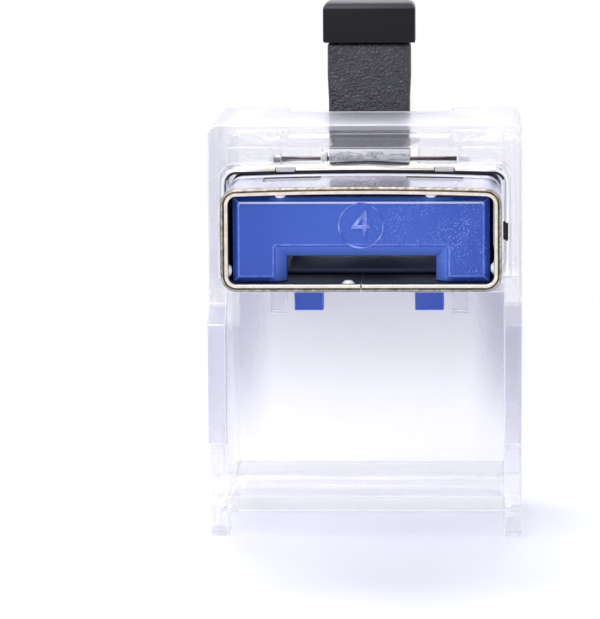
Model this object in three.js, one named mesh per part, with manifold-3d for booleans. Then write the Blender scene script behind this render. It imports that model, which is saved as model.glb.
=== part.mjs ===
// Lever wire connector: a clear frame with a sheet-metal entry, a moulded wire guide,
// two cage clamp springs on one busbar, and a lever on a steel axle that opens them.
//
// Millimetres, +Z up, +X to the right, +Y away from the wire entry.
// While it is built, y = 0 is the outer face of the front wall and z = 0 is the soles of the feet.
// The finished group is moved along Y, so that its origin is under the middle of its box.

import * as THREE from 'three';
import { mergeVertices } from 'three/addons/utils/BufferGeometryUtils.js';
import Module from 'manifold-3d';

// Clear housing
const HOUSING_DEPTH = 10;
const HOUSING_CORNER = 0.45;
const SIDE_WALL = 0.8;
const WALL_BESIDE_ENTRY = 0.5;
const FRONT_WALL = 0.8;
const TOP_WALL = 1.02;
const BAR_CLEARANCE = 1.25;
const BAR_THICKNESS = 0.68;
const CHAMBER_HEIGHT = 8.62;
const FLOOR_THICKNESS = 1.15;
const FLOOR_AT_ENTRY = 0.65;
const ENTRY_RELIEF_DEPTH = 4;
const WINDOW_WIDTH = 8.1;
const CEILING_GAP = 0.54;
const BACK_NOTCH_WIDTH = 7.5;

// Legs of the housing: front pads, toes and the arch between the toes
const PAD_FORWARD = 1.3;
const PAD_LOW = 4.45;
const PAD_HIGH = 9.75;
const PAD_RAMP = 0.35;
const TOE_LENGTH = 3.1;
const TOE_RADIUS = 0.7;
const ARCH_HEIGHT = 0.95;
const ARCH_RADIUS = 0.6;

// Bent sheet-metal shell round the wire entry
const SHELL_WIDTH = 12;
const SHELL_HEIGHT = 4.5;
const SHELL_SHEET = 0.32;
const SHELL_CORNER = 0.68;
const SHELL_CROWN = 0.1;
const SHELL_OUTSIDE = 6.5;
const SHELL_SEAM = 0.08;
const SHELL_SEAT = 0.12;
const DIMPLE_RADIUS = 0.5;
const DIMPLE_DEPTH = 0.12;

// Collar that wraps the shell where it enters the front wall
const COLLAR_SHEET = 0.14;
const COLLAR_LENGTH = 3;
const COLLAR_PROUD = 0.08;
const COLLAR_SIDE_GAP = 0.19;
const COLLAR_TOP_GAP = 0.15;
const COLLAR_CORNER = 0.65;
const COLLAR_SLOT_HEIGHT = 0.78;
const COLLAR_SLOT_DEPTH = 1;
const COLLAR_SLOT_UP = 1.58;
const COLLAR_NOTCH = 0.9;
const COLLAR_NOTCH_DEPTH = 0.6;
const COLLAR_NOTCH_OUT = 3.5;

// Rubber seal between the collar's top and the shell, and a plug in each of the collar's side slots
const SEAL_SHEET = 0.08;
const SEAL_PLAY = 0.02;
const SEAL_SHOULDER = 0.2;
const PLUG_BACK = 0.12;
const PLUG_THICKNESS = 0.22;

// Moulded wire guide
const GUIDE_SIDE_GAP = 0.18;
const GUIDE_RECESS = 0.35;
const GUIDE_FACE = 1.55;
const GUIDE_TOP_GAP = 0.13;
const GUIDE_FLOOR_GAP = 0.05;
const GUIDE_CHAMFER = 0.25;
const GUIDE_FLOOR = 0.25;
const GUIDE_FLOOR_BACK = 2;
const SLOT_WIDTH = 6.4;
const SLOT_HEIGHT = 1.12;
const FUNNEL_SIDE = 0.55;
const FUNNEL_RISE = 0.53;
const FUNNEL_DEPTH = 0.7;
const GUIDE_CHANNEL = 6.6;
const GUIDE_TAIL = 1.6;
const GUIDE_TAIL_DROP = 0.8;
const HOOK_WIDTH = 1.32;
const HOOK_CENTRE = 2.75;
const HOOK_THICKNESS = 0.9;
const HOOK_REACH = 1.1;
const HOOK_BARB = 0.25;

// Small ribs under the housing's floor, outboard of the hooks
const RIB_WIDTH = 0.82;
const RIB_CENTRE = 4.15;
const RIB_DROP = 1.25;

// Busbar and cage clamp springs
const BUSBAR_THICKNESS = 0.4;
const BUSBAR_TONGUE = 1.5;
const LEDGE_WIDTH = 0.4;
const LEDGE_HEIGHT = 0.5;
const SPRING_WIDTH = 2.6;
const SPRING_CENTRE = 1.55;
const SPRING_SHEET = 0.3;
const SPRING_REACH = 6.5;
const BOW_RADIUS = 0.7;
const SEAT_LEG = 1.2;
const PRESS_LEG = 2.9;
const CAGE_SETBACK = 0.1;
const CAGE_BEND = 0.4;
const CAGE_RIM = 0.4;
const CAGE_WINDOW = 1.8;
const SPRING_TURN = THREE.MathUtils.degToRad(8);

// Lever, its push-on cap, axle and bushes
const LEVER_SWING = THREE.MathUtils.degToRad(90);
const AXLE_FROM_BACK = 1.5;
const AXLE_UNDER_SHELL_TOP = 0.24;
const AXLE_RADIUS = 0.25;
const AXLE_IN_EAR = 0.5;
const EAR_THICKNESS = 0.6;
const EAR_RADIUS = 0.8;
const ARM_WIDTH = 3.8;
const ARM_STEP = 0.05;
const ARM_AHEAD = 0.8;
const ARM_BEHIND = 0.9;
const ARM_LENGTH = 5.47;
const TONGUE_WIDTH = 3;
const TONGUE_THICKNESS = 0.9;
const TONGUE_LENGTH = 1.25;
const CAP_WIDTH = 4.2;
const CAP_LENGTH = 1.92;
const CAP_OVERLAP = 0.22;
const CAP_CORNER = 0.38;
const CAP_OVERHANG = 0.74;
const BUSH_RADIUS = 0.45;
const BUSH_LENGTH = 0.3;
const PLATE_THICKNESS = 0.1;
const PLATE_HEIGHT = 0.62;
const PLATE_ABOVE_AXLE = 0.04;

// Rear cover
const COVER_WALL = 0.8;
const COVER_CORNER = 0.8;
const COVER_TONGUE = 1.3;
const COVER_TONGUE_THICKNESS = 0.55;
const CHANNEL_WALL = 0.7;
const BACK_PANEL = 0.6;
const FINGER_RECESS = 2;
const FINGER_RECESS_DROP = 0.8;

// Clearances
const RUNNING_FIT = 0.06;
const SLIDE_FIT = 0.1;
const MOULD_FIT = 0.15;
const MOVING_GAP = 0.3;
const CAM_CLEARANCE = 0.07;

// Fineness of the curves
const CORNER_STEPS = 5;
const ROUND_STEPS = 28;
const CAM_STEPS = 9;
const CUT = 1;

// Levels and stations that follow from the sizes above
const collarHalf = SHELL_WIDTH / 2 + COLLAR_SIDE_GAP + COLLAR_SHEET;
const entryHalf = collarHalf + SLIDE_FIT;
const halfWidth = entryHalf + WALL_BESIDE_ENTRY;
const innerHalf = halfWidth - SIDE_WALL;
const barTop = BAR_CLEARANCE + BAR_THICKNESS;
const floorUnder = barTop + CHAMBER_HEIGHT;
const floorTop = floorUnder + FLOOR_THICKNESS;
const shellLow = floorTop + SHELL_SEAT;
const shellTop = shellLow + SHELL_HEIGHT;
const shellFloor = shellLow + SHELL_SHEET;
const axleY = HOUSING_DEPTH - AXLE_FROM_BACK;
const axleZ = shellTop - AXLE_UNDER_SHELL_TOP;
const ceiling = axleZ + ARM_AHEAD + CEILING_GAP;
const housingTop = ceiling + TOP_WALL;
const slotTop = shellFloor + SLOT_HEIGHT;
const busbarLow = slotTop + MOULD_FIT / 3;
const busbarTop = busbarLow + BUSBAR_THICKNESS;
const bowY = axleY - SPRING_REACH;
const bowZ = busbarTop + MOULD_FIT / 3 + SPRING_SHEET / 2 + BOW_RADIUS;
const cageY = axleY + CAGE_SETBACK;

// The closed lever lies with its back on the channel floor, so the springs' legs stay below it.
const legRise = Math.sin(SPRING_TURN) * (cageY - CAGE_BEND - bowY);
const legTop = axleZ - ARM_BEHIND - MOULD_FIT - legRise;
const lobeReach = Math.hypot(axleZ - legTop, ARM_AHEAD);
const shellRear = axleY - lobeReach - MOVING_GAP;
const earInner = WINDOW_WIDTH / 2;
const guideHalf = SHELL_WIDTH / 2 - SHELL_SHEET - GUIDE_SIDE_GAP;
const collarTop = shellTop + COLLAR_TOP_GAP + COLLAR_SHEET;
const slotLow = floorTop + MOULD_FIT / 3 + COLLAR_SLOT_UP;
const guideTop = shellTop - SHELL_SHEET - GUIDE_TOP_GAP;
const guideFront = GUIDE_RECESS - SHELL_OUTSIDE;
const tailFront = shellRear + SLIDE_FIT;
const tailTop = guideTop - GUIDE_TAIL_DROP;
const wireLevel = shellFloor + GUIDE_FLOOR_GAP + GUIDE_FLOOR;
const coverFront = HOUSING_DEPTH + MOULD_FIT / 3;
const coverRear = axleY + ARM_LENGTH + CAP_LENGTH - CAP_OVERHANG;
const coverTop = axleZ + ARM_AHEAD;
const channelFloor = axleZ - ARM_BEHIND - MOVING_GAP;
const channelHalf = CAP_WIDTH / 2 + SLIDE_FIT;

const wasm = await Module();
wasm.setup();

// A three.js geometry as a solid that can be joined and cut.
function solidOf(geometry) {
  const bare = geometry.clone();
  bare.deleteAttribute('normal');
  bare.deleteAttribute('uv');
  const merged = mergeVertices(bare, 1e-5);
  const vertProperties = new Float32Array(merged.attributes.position.array);
  const triVerts = new Uint32Array(merged.index.array);
  return new wasm.Manifold(new wasm.Mesh({ numProp: 3, vertProperties, triVerts }));
}

function geometryOf(solid) {
  const mesh = solid.getMesh();
  const geometry = new THREE.BufferGeometry();
  geometry.setAttribute('position', new THREE.BufferAttribute(new Float32Array(mesh.vertProperties), 3));
  geometry.setIndex(new THREE.BufferAttribute(new Uint32Array(mesh.triVerts), 1));
  geometry.computeVertexNormals();
  return geometry;
}

function joined(...solids) {
  return solids.reduce((sum, solid) => sum.add(solid));
}

// A block between two opposite corners.
function block([x0, x1], [y0, y1], [z0, z1]) {
  const geometry = new THREE.BoxGeometry(x1 - x0, y1 - y0, z1 - z0);
  geometry.translate((x0 + x1) / 2, (y0 + y1) / 2, (z0 + z1) / 2);
  return solidOf(geometry);
}

// The same block on the left and on the right of the middle plane.
function blockPair([x0, x1], y, z) {
  return joined(block([x0, x1], y, z), block([-x1, -x0], y, z));
}

// An outline through corners [a, b, radius], each rounded where its radius is given.
function roundedPath(corners, closed) {
  const points = [];
  const last = corners.length - 1;
  corners.forEach(([a, b, radius = 0], index) => {
    const corner = new THREE.Vector2(a, b);
    if (radius === 0 || (!closed && (index === 0 || index === last))) {
      points.push(corner);
      return;
    }
    const before = corners[index === 0 ? last : index - 1];
    const after = corners[index === last ? 0 : index + 1];
    const toBefore = new THREE.Vector2(before[0] - a, before[1] - b).normalize();
    const toAfter = new THREE.Vector2(after[0] - a, after[1] - b).normalize();
    const half = Math.acos(THREE.MathUtils.clamp(toBefore.dot(toAfter), -1, 1)) / 2;
    const centre = toBefore.clone().add(toAfter).normalize().multiplyScalar(radius / Math.sin(half)).add(corner);
    const start = toBefore.clone().multiplyScalar(radius / Math.tan(half)).add(corner).sub(centre);
    const turn = (Math.PI - 2 * half) * Math.sign(toAfter.cross(toBefore));
    for (let step = 0; step <= CORNER_STEPS; step += 1) {
      points.push(start.clone().rotateAround(new THREE.Vector2(), (turn * step) / CORNER_STEPS).add(centre));
    }
  });
  return points;
}

function shapeOf(corners, holes = []) {
  const shape = new THREE.Shape(roundedPath(corners, true));
  shape.holes = holes.map((hole) => new THREE.Path(roundedPath(hole, true)));
  return shape;
}

// A shape drawn in (y, z), made solid from x0 to x1.
function alongX(shape, [x0, x1]) {
  const geometry = new THREE.ExtrudeGeometry(shape, { depth: x1 - x0, bevelEnabled: false });
  const toYZ = new THREE.Matrix4();
  toYZ.makeBasis(new THREE.Vector3(0, 1, 0), new THREE.Vector3(0, 0, 1), new THREE.Vector3(1, 0, 0));
  geometry.applyMatrix4(toYZ);
  geometry.translate(x0, 0, 0);
  return solidOf(geometry);
}

// A shape drawn in (x, z), made solid from y0 to y1.
function alongY(shape, [y0, y1]) {
  const geometry = new THREE.ExtrudeGeometry(shape, { depth: y1 - y0, bevelEnabled: false });
  geometry.rotateX(Math.PI / 2);
  geometry.translate(0, y1, 0);
  return solidOf(geometry);
}

// A shape drawn in (x, y), made solid from z0 to z1.
function alongZ(shape, [z0, z1]) {
  const geometry = new THREE.ExtrudeGeometry(shape, { depth: z1 - z0, bevelEnabled: false });
  geometry.translate(0, 0, z0);
  return solidOf(geometry);
}

// A round bar along X, centred on (y, z).
function roundBar(radius, [x0, x1], [y, z]) {
  const geometry = new THREE.CylinderGeometry(radius, radius, x1 - x0, ROUND_STEPS);
  geometry.rotateZ(-Math.PI / 2);
  geometry.translate((x0 + x1) / 2, y, z);
  return solidOf(geometry);
}

// Corners of a rectangle with one radius for its two low corners and one for its two top corners.
function rectangle([a0, a1], [b0, b1], lowRadius = 0, topRadius = lowRadius) {
  return [[a0, b0, lowRadius], [a1, b0, lowRadius], [a1, b1, topRadius], [a0, b1, topRadius]];
}

// A block that tapers along Y from one rectangle in (x, z) to another.
function taperedBlock(front, back, [y0, y1]) {
  const corners = [];
  [[front, y0], [back, y1]].forEach(([[[x0, x1], [z0, z1]], y]) => {
    corners.push([x0, y, z0], [x1, y, z0], [x1, y, z1], [x0, y, z1]);
  });
  const faces = [[0, 1, 2, 3], [7, 6, 5, 4], [4, 5, 1, 0], [5, 6, 2, 1], [6, 7, 3, 2], [7, 4, 0, 3]];
  const geometry = new THREE.BufferGeometry();
  geometry.setAttribute('position', new THREE.Float32BufferAttribute(corners.flat(), 3));
  geometry.setIndex(faces.flatMap(([a, b, c, d]) => [a, b, c, a, c, d]));
  return solidOf(geometry);
}

// Sheet metal bent along a line in (y, z), drawn as its middle line.
function bentSheet(corners, sheet, x) {
  const line = roundedPath(corners, false);
  const side = (sign) => line.map((point, index) => {
    const before = line[Math.max(index - 1, 0)];
    const after = line[Math.min(index + 1, line.length - 1)];
    const normal = new THREE.Vector2(before.y - after.y, after.x - before.x).normalize();
    return point.clone().addScaledVector(normal, (sign * sheet) / 2);
  });
  return alongX(new THREE.Shape([...side(-1), ...side(1).reverse()]), x);
}

// Clear frame: front wall, top, floor, side walls that run down into feet, and the bottom bar.
function housing() {
  const side = shapeOf([
    [0, housingTop],
    [0, floorUnder],
    [-PAD_FORWARD, PAD_HIGH],
    [-PAD_FORWARD, PAD_LOW],
    [0, PAD_LOW - PAD_RAMP],
    [0, 0, TOE_RADIUS],
    [TOE_LENGTH, 0],
    [TOE_LENGTH, ARCH_HEIGHT, ARCH_RADIUS],
    [HOUSING_DEPTH - TOE_LENGTH, ARCH_HEIGHT, ARCH_RADIUS],
    [HOUSING_DEPTH - TOE_LENGTH, 0],
    [HOUSING_DEPTH, 0, TOE_RADIUS],
    [HOUSING_DEPTH, housingTop],
  ]);
  const front = shapeOf(rectangle([-halfWidth, halfWidth], [0, housingTop], 0, HOUSING_CORNER));
  const across = [-innerHalf, innerHalf];
  const through = [-PAD_FORWARD - CUT, HOUSING_DEPTH + CUT];
  const outer = alongX(side, [-halfWidth, halfWidth]).intersect(alongY(front, through));
  const chamber = block(across, through, [barTop, floorUnder]);
  const underBar = block(across, through, [-CUT, BAR_CLEARANCE]);
  const relief = block(across, [-CUT, ENTRY_RELIEF_DEPTH], [floorUnder - CUT, floorTop - FLOOR_AT_ENTRY]);
  const cavity = block(across, [FRONT_WALL, HOUSING_DEPTH + CUT], [floorTop, ceiling]);
  const entryShape = shapeOf(
    rectangle([-entryHalf, entryHalf], [floorTop, collarTop + SLIDE_FIT], 0, COLLAR_CORNER),
  );
  const entry = alongY(entryShape, [-CUT, COLLAR_LENGTH + SLIDE_FIT]);
  const window = block([-earInner, earInner], [-CUT, FRONT_WALL + CUT], [collarTop, ceiling]);
  const notchHalf = BACK_NOTCH_WIDTH / 2;
  const notch = block(
    [-notchHalf, notchHalf],
    [axleY - ARM_AHEAD - 2 * SLIDE_FIT, HOUSING_DEPTH + CUT],
    [ceiling - CUT, housingTop + CUT],
  );
  const hookHole = blockPair(
    [HOOK_CENTRE - HOOK_WIDTH / 2 - MOULD_FIT, HOOK_CENTRE + HOOK_WIDTH / 2 + MOULD_FIT],
    [tailFront, tailFront + HOOK_THICKNESS + HOOK_BARB + MOULD_FIT],
    [floorUnder - CUT, floorTop + CUT],
  );
  return outer
    .subtract(joined(chamber, underBar, relief, cavity, entry, window, notch, hookHole))
    .add(axleEars())
    .add(floorRibs());
}

// Two ears that hang from the top wall and hold the axle.
function axleEars() {
  const outline = shapeOf([
    [axleY - EAR_RADIUS, ceiling + TOP_WALL / 2],
    [axleY - EAR_RADIUS, axleZ - EAR_RADIUS, EAR_RADIUS * 0.8],
    [axleY + EAR_RADIUS, axleZ - EAR_RADIUS, EAR_RADIUS * 0.8],
    [axleY + EAR_RADIUS, ceiling + TOP_WALL / 2],
  ]);
  const right = alongX(outline, [earInner, earInner + EAR_THICKNESS]);
  const left = alongX(outline, [-earInner - EAR_THICKNESS, -earInner]);
  const reach = earInner + AXLE_IN_EAR + RUNNING_FIT;
  return joined(left, right).subtract(roundBar(AXLE_RADIUS + RUNNING_FIT, [-reach, reach], [axleY, axleZ]));
}

// Two short ribs under the floor, beside the wire guide's hooks.
function floorRibs() {
  return blockPair(
    [RIB_CENTRE - RIB_WIDTH / 2, RIB_CENTRE + RIB_WIDTH / 2],
    [tailFront, tailFront + GUIDE_TAIL],
    [floorUnder - RIB_DROP, floorUnder + FLOOR_THICKNESS / 2],
  );
}

// Cover that closes the back of the housing, with a channel that the closed lever lies in
// and a thin panel that runs down behind the chamber under the floor.
function rearCover() {
  const plan = shapeOf(rectangle([-halfWidth, halfWidth], [coverFront, coverRear], 0, COVER_CORNER));
  const body = alongZ(plan, [floorUnder, coverTop]);
  const channel = block(
    [-channelHalf, channelHalf],
    [coverFront - CUT, coverRear + CUT],
    [channelFloor, coverTop + CUT],
  );
  const recess = block(
    [-channelHalf, channelHalf],
    [coverRear - FINGER_RECESS, coverRear + CUT],
    [channelFloor - FINGER_RECESS_DROP, coverTop + CUT],
  );
  const inside = [coverFront - CUT, coverRear - COVER_WALL];
  const roof = channelFloor - FINGER_RECESS_DROP - COVER_WALL;
  const hollow = block([-innerHalf, innerHalf], inside, [floorUnder + COVER_WALL, roof]);
  const sides = blockPair(
    [channelHalf + CHANNEL_WALL, innerHalf],
    inside,
    [floorUnder + COVER_WALL, coverTop - COVER_WALL],
  );
  const tongueOuter = innerHalf - SLIDE_FIT;
  const tongues = blockPair(
    [tongueOuter - COVER_TONGUE_THICKNESS, tongueOuter],
    [coverFront - COVER_TONGUE, coverRear - 2 * COVER_WALL],
    [floorTop + MOVING_GAP, coverTop - COVER_WALL - SLIDE_FIT],
  );
  const panelPlan = shapeOf(rectangle([-halfWidth, halfWidth], [coverFront, coverFront + BACK_PANEL]));
  const panel = alongZ(panelPlan, [BAR_CLEARANCE, floorUnder + COVER_WALL / 2]);
  return joined(body.subtract(joined(channel, recess, hollow, sides)), panel, tongues, coverRootBars());
}

// Short bars that join the cover's inner tongues to its side walls.
function coverRootBars() {
  return blockPair(
    [innerHalf - SLIDE_FIT - COVER_TONGUE_THICKNESS / 2, innerHalf + SIDE_WALL / 2],
    [coverFront, coverRear - 2 * COVER_WALL],
    [floorUnder + COVER_WALL / 2, coverTop - COVER_WALL / 2],
  );
}

// Outline of the shell's section in (x, z), with a slightly crowned top, drawn in by an inset.
function shellOutline(inset, sideInset = inset, radius = SHELL_CORNER - inset) {
  const half = SHELL_WIDTH / 2 - sideInset;
  const low = shellLow + inset;
  const shoulder = shellTop - SHELL_CROWN - inset;
  const crown = [];
  for (let step = 1; step < 2 * CORNER_STEPS; step += 1) {
    const share = step / CORNER_STEPS - 1;
    crown.push([-share * (half - radius), shoulder + SHELL_CROWN * (1 - share * share)]);
  }
  return [[-half, low, radius], [half, low, radius], [half, shoulder, radius], ...crown, [-half, shoulder, radius]];
}

// Flat dimples pressed into the shell, which hold the wire guide.
function shellDimples() {
  const row = DIMPLE_RADIUS + 2 * SHELL_SHEET - SHELL_OUTSIDE;
  const inHalf = SHELL_WIDTH / 2 - SHELL_SHEET;
  const inTop = shellTop - SHELL_SHEET;
  const sink = DIMPLE_RADIUS - DIMPLE_DEPTH;
  const places = [
    [-SHELL_WIDTH * 0.3, row, inTop - SHELL_CROWN / 2 + sink],
    [SHELL_WIDTH * 0.25, row, inTop - SHELL_CROWN / 3 + sink],
    [-inHalf - sink, row, shellLow + SHELL_HEIGHT * 0.22],
    [inHalf + sink, row, shellLow + SHELL_HEIGHT * 0.24],
    [-SHELL_SEAM - DIMPLE_RADIUS, row, shellFloor - sink],
  ];
  return joined(...places.map(([x, y, z]) => {
    const ball = new THREE.SphereGeometry(DIMPLE_RADIUS, 16, 10);
    ball.translate(x, y, z);
    return solidOf(ball);
  }));
}

// One strip of sheet bent to a box section, with its butt seam in the middle of the floor.
function contactShell() {
  const length = [-SHELL_OUTSIDE, shellRear];
  const outer = alongY(shapeOf(shellOutline(0)), length);
  const inner = alongY(shapeOf(shellOutline(SHELL_SHEET)), [length[0] - CUT, length[1] + CUT]);
  const seam = block([-SHELL_SEAM / 2, SHELL_SEAM / 2], [length[0] - CUT, length[1] + CUT], [shellLow - CUT, shellFloor + CUT]);
  const dimples = outer.intersect(shellDimples());
  return outer.subtract(inner).add(dimples).subtract(seam);
}

// Outline of a wrap over the shell's top and sides, at a distance above it and beside it.
function wrapOutline(above, beside, radius) {
  return shapeOf(shellOutline(-above, -beside, radius));
}

// Saddle of thin sheet over the shell's top and sides, seated on the housing's floor.
function collar() {
  const foot = floorTop + MOULD_FIT / 3;
  const rear = COLLAR_LENGTH - COLLAR_PROUD;
  const outline = wrapOutline(COLLAR_TOP_GAP + COLLAR_SHEET, COLLAR_SIDE_GAP + COLLAR_SHEET, COLLAR_CORNER);
  const inline = wrapOutline(COLLAR_TOP_GAP, COLLAR_SIDE_GAP, COLLAR_CORNER - COLLAR_SHEET);
  const outer = alongY(outline, [-COLLAR_PROUD, rear]);
  const inner = alongY(inline, [-COLLAR_PROUD - CUT, rear + CUT]);
  const legs = blockPair([collarHalf - COLLAR_SHEET, collarHalf], [-COLLAR_PROUD, rear], [foot, shellTop - COLLAR_CORNER]);
  const under = block([-collarHalf - CUT, collarHalf + CUT], [-COLLAR_PROUD - CUT, rear + CUT], [shellLow - CUT, slotLow]);
  const slot = block(
    [-collarHalf - CUT, collarHalf + CUT],
    [-COLLAR_PROUD - CUT, COLLAR_SLOT_DEPTH],
    [slotLow, slotLow + COLLAR_SLOT_HEIGHT],
  );
  const notches = blockPair(
    [COLLAR_NOTCH_OUT - COLLAR_NOTCH / 2, COLLAR_NOTCH_OUT + COLLAR_NOTCH / 2],
    [-COLLAR_PROUD - CUT, COLLAR_NOTCH_DEPTH],
    [shellTop - SHELL_CROWN, collarTop + CUT],
  );
  return outer.subtract(joined(inner, under)).add(legs).subtract(joined(slot, notches));
}

// Thin black strip under the collar's top, down to its shoulders.
function seal() {
  const above = COLLAR_TOP_GAP - SEAL_PLAY;
  const beside = COLLAR_SIDE_GAP - SEAL_PLAY;
  const rear = COLLAR_LENGTH - COLLAR_PROUD;
  const radius = COLLAR_CORNER - COLLAR_SHEET;
  const outer = alongY(wrapOutline(above, beside, radius), [0, rear]);
  const inline = wrapOutline(above - SEAL_SHEET, beside - SEAL_SHEET, radius - SEAL_SHEET);
  const inner = alongY(inline, [-CUT, rear + CUT]);
  const across = [-collarHalf - CUT, collarHalf + CUT];
  const under = block(across, [-CUT, rear + CUT], [shellLow - CUT, shellTop - SHELL_CROWN - SEAL_SHOULDER]);
  return outer.subtract(joined(inner, under));
}

// Rubber plug in one of the collar's side slots; side is -1 on the left and 1 on the right.
function slotPlug(side) {
  const outer = collarHalf - SEAL_PLAY;
  const reach = [outer - PLUG_THICKNESS, outer];
  const x = side > 0 ? reach : reach.map((value) => -value).reverse();
  return block(
    x,
    [PLUG_BACK, COLLAR_SLOT_DEPTH - SEAL_PLAY],
    [slotLow + SEAL_PLAY, slotLow + COLLAR_SLOT_HEIGHT - SEAL_PLAY],
  );
}

// Moulded guide: a front face with the wire slot, two side cheeks, and a tail that hooks into the floor.
function wireGuide() {
  const half = guideHalf;
  const low = shellFloor + GUIDE_FLOOR_GAP;
  const chamferBack = guideFront + GUIDE_CHAMFER;
  const faceBack = guideFront + GUIDE_FACE;
  const faceFront = taperedBlock(
    [[-half + GUIDE_CHAMFER, half - GUIDE_CHAMFER], [low + GUIDE_CHAMFER, guideTop - GUIDE_CHAMFER]],
    [[-half, half], [low, guideTop]],
    [guideFront, chamferBack],
  );
  const face = block([-half, half], [chamferBack, faceBack], [low, guideTop]);
  const slotHalf = SLOT_WIDTH / 2;
  const slot = block([-slotHalf, slotHalf], [guideFront - CUT, faceBack + CUT], [low - CUT, slotTop]);
  const funnel = taperedBlock(
    [[-slotHalf - 2 * FUNNEL_SIDE, slotHalf + 2 * FUNNEL_SIDE], [low - CUT, slotTop + 2 * FUNNEL_RISE]],
    [[-slotHalf, slotHalf], [low - CUT, slotTop]],
    [guideFront - FUNNEL_DEPTH, guideFront + FUNNEL_DEPTH],
  );
  const channelSide = GUIDE_CHANNEL / 2;
  const cheeks = blockPair([channelSide, half], [chamferBack, tailFront], [low, guideTop]);
  const wireFloor = block([-half, half], [faceBack + GUIDE_FLOOR_BACK, tailFront], [low, wireLevel]);
  return joined(faceFront, face, cheeks, guideLedges(), guideTail()).subtract(joined(slot, funnel)).add(wireFloor);
}

// Ledges on the cheeks that carry the busbar.
function guideLedges() {
  const channelSide = GUIDE_CHANNEL / 2;
  const inner = channelSide - LEDGE_WIDTH;
  return blockPair([inner, channelSide + LEDGE_WIDTH], busbarSpan(), [slotTop - LEDGE_HEIGHT, slotTop]);
}

// Tail behind the shell: cheeks, a floor for the wires, and two hooks through the housing's floor.
function guideTail() {
  const half = guideHalf;
  const channelSide = GUIDE_CHANNEL / 2;
  const tailRear = tailFront + GUIDE_TAIL;
  const cheekRoot = tailFront - FLOOR_THICKNESS;
  const low = floorTop + SLIDE_FIT;
  const cheeks = blockPair([channelSide, half], [tailFront, tailRear], [low, tailTop]);
  const roots = blockPair([channelSide, half], [cheekRoot, tailRear], [shellFloor + SLIDE_FIT, tailTop]);
  const wireFloor = block([-half, half], [tailFront, tailRear], [low, wireLevel]);
  const shankRear = tailFront + MOULD_FIT + HOOK_BARB + HOOK_THICKNESS - MOULD_FIT;
  const barbFront = tailFront + MOULD_FIT - HOOK_BARB;
  const hookLow = floorUnder - HOOK_REACH;
  const shape = shapeOf([
    [tailFront + MOULD_FIT, low + SLIDE_FIT],
    [tailFront + MOULD_FIT, floorUnder - SLIDE_FIT],
    [barbFront, floorUnder - SLIDE_FIT],
    [tailFront + MOULD_FIT, hookLow],
    [shankRear, hookLow],
    [shankRear, low + SLIDE_FIT],
  ]);
  const hookInner = HOOK_CENTRE - HOOK_WIDTH / 2;
  const hookOuter = HOOK_CENTRE + HOOK_WIDTH / 2;
  const hooks = joined(alongX(shape, [hookInner, hookOuter]), alongX(shape, [-hookOuter, -hookInner]));
  return joined(cheeks, roots, wireFloor, hooks);
}

// The busbar's plate runs from under the springs' bows to the end of the guide's tail.
function busbarSpan() {
  return [bowY - BOW_RADIUS, tailFront + GUIDE_TAIL];
}

// Tinned copper plate over the wires, with one tongue through each cage.
function busbar() {
  const [front, rear] = busbarSpan();
  const plateHalf = GUIDE_CHANNEL / 2 - MOULD_FIT;
  const level = [busbarLow, busbarTop];
  const plate = block([-plateHalf, plateHalf], [front, rear - MOULD_FIT], level);
  const tongues = blockPair(
    [SPRING_CENTRE - BUSBAR_TONGUE / 2, SPRING_CENTRE + BUSBAR_TONGUE / 2],
    [rear - BUSBAR_THICKNESS, cageY + 2 * BUSBAR_THICKNESS],
    level,
  );
  return joined(plate, tongues);
}

// One cage clamp spring: seat leg, front bow, press leg, and the cage leg with its window.
function clampSpring(centre) {
  const seatZ = bowZ - BOW_RADIUS;
  const pressZ = legTop - SPRING_SHEET / 2;
  const bowFront = bowY - BOW_RADIUS;
  const rimLow = floorTop + MOULD_FIT;
  const strip = bentSheet([
    [bowY + SEAT_LEG, seatZ],
    [bowFront, seatZ, BOW_RADIUS * 0.98],
    [bowFront, bowZ + BOW_RADIUS, BOW_RADIUS * 0.7],
    [cageY - PRESS_LEG, pressZ, BOW_RADIUS],
    [cageY, pressZ, CAGE_BEND],
    [cageY, rimLow],
  ], SPRING_SHEET, [centre - SPRING_WIDTH / 2, centre + SPRING_WIDTH / 2]);
  const window = block(
    [centre - CAGE_WINDOW / 2, centre + CAGE_WINDOW / 2],
    [cageY - CAGE_BEND, cageY + CUT],
    [rimLow + CAGE_RIM, busbarTop + SLIDE_FIT],
  );
  return strip.subtract(window);
}

// Side of the lever's cam, in (y, z) about the axle. As the lever closes, the springs' press legs
// rise in step with it, and each tangent is a press leg as the lever sees it, less a clearance.
function camOutline() {
  const tangents = [];
  for (let step = 0; step <= CAM_STEPS; step += 1) {
    const share = step / CAM_STEPS;
    const rise = share * SPRING_TURN;
    const across = (axleZ - bowZ) * Math.cos(rise) - (axleY - bowY) * Math.sin(rise);
    const height = across - (legTop - bowZ) - CAM_CLEARANCE;
    const facing = share * LEVER_SWING + rise - Math.PI / 2;
    tangents.push({ facing, height });
  }
  return tangents.slice(1).map((tangent, index) => {
    const before = tangents[index];
    const turn = tangent.facing - before.facing;
    const along = (tangent.height - before.height * Math.cos(turn)) / Math.sin(turn);
    return [
      before.height * Math.cos(before.facing) - along * Math.sin(before.facing),
      before.height * Math.sin(before.facing) + along * Math.cos(before.facing),
    ];
  });
}

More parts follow.
